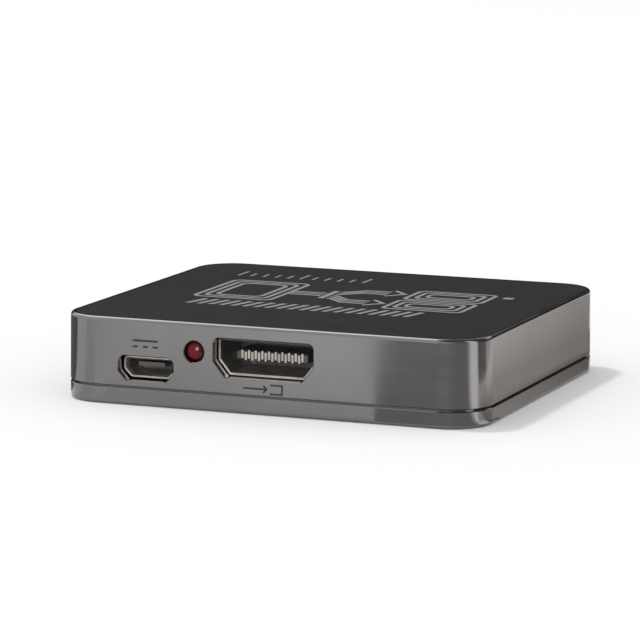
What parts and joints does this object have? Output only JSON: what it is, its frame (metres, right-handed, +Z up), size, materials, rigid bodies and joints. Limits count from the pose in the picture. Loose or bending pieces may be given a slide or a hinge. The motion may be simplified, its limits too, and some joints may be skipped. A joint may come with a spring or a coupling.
{
  "type": "hdmi splitter",
  "caption": "Pocket video splitter box with a polished dark case, a matt top, one video input, a micro power socket and a red light in front, and video outputs behind.",
  "frame": {"origin": "centre of the flat base", "axes": "+Z up, +X along the long side to the right as seen from the front, front with the input towards -Y"},
  "size_m": [0.063, 0.055, 0.0123],
  "materials": {
    "case": "polished graphite grey, moulded",
    "film": "fine matt print film, near black",
    "screw": "dark zinc plated",
    "board": "satin black solder mask over glass laminate",
    "port_metal": "nickel plated folded sheet",
    "port_plastic": "black moulded insulator",
    "contact": "gold plated spring alloy",
    "lens": "clear deep red, polished",
    "tinned": "tin plated, satin",
    "solder": "smooth solder",
    "chip": "black moulding compound",
    "ferrite": "dark moulded ferrite",
    "can_metal": "drawn can, satin",
    "base_plastic": "black moulded plate",
    "ceramic_body": "fired ceramic, tan",
    "resistor_body": "dark glaze"
  },
  "bodies": {
    "root": {"upper_shell": "case", "lower_shell": "case", "top_film": "film", "case_screws": "screw", "circuit_board": "board", "input_port_shell": "port_metal", "input_port_insulator": "port_plastic", "input_port_contacts": "contact", "output_1_port_shell": "port_metal", "output_1_port_insulator": "port_plastic", "output_1_port_contacts": "contact", "output_2_port_shell": "port_metal", "output_2_port_insulator": "port_plastic", "output_2_port_contacts": "contact", "power_port_shell": "port_metal", "power_port_insulator": "port_plastic", "power_port_contacts": "contact", "power_light_lens": "lens", "power_light_leads": "tinned", "solder_joints": "solder", "splitter_chip": "chip", "splitter_chip_leads": "tinned", "memory_chip": "chip", "memory_chip_leads": "tinned", "voltage_regulator": "chip", "voltage_regulator_leads": "tinned", "power_inductor": "ferrite", "power_inductor_pads": "tinned", "crystal_can": "can_metal", "crystal_base": "base_plastic", "bulk_capacitor_cans": "can_metal", "bulk_capacitor_bases": "base_plastic", "ceramic_capacitors": "ceramic_body", "chip_resistors": "resistor_body", "chip_end_caps": "tinned", "surge_arrays": "chip"}
  },
  "joints": []
}
